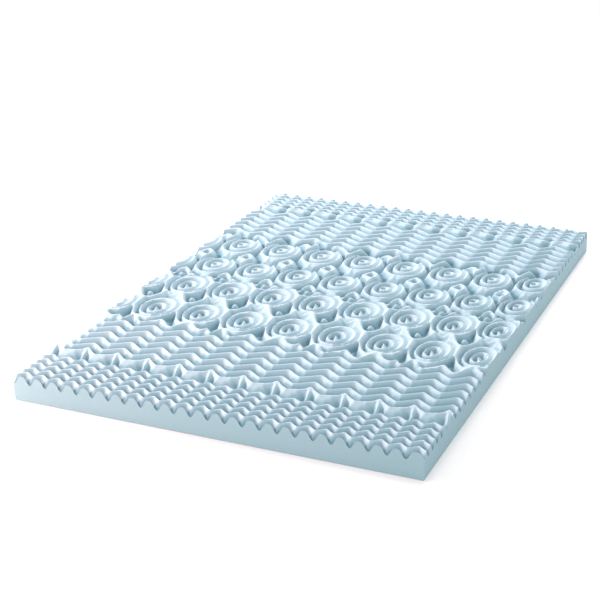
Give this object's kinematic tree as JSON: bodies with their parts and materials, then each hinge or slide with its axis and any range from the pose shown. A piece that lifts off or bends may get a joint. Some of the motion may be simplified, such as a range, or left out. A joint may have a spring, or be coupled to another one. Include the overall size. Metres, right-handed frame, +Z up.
{
  "type": "mattress topper",
  "caption": "Slab of convoluted foam that lies on a mattress, with bands of fine and coarse zigzag ribs and ringed rounds across its top and a flat underside.",
  "frame": {"origin": "middle of the flat underside", "axes": "+X across the bed, +Y from the foot edge with the fine cut ribs to the head edge, +Z up out of the cut side"},
  "size_m": [1.372, 1.905, 0.087],
  "materials": {
    "foam": "soft open-cell polyurethane foam, pale blue, matte"
  },
  "bodies": {
    "root": {"topper": "foam"}
  },
  "joints": []
}
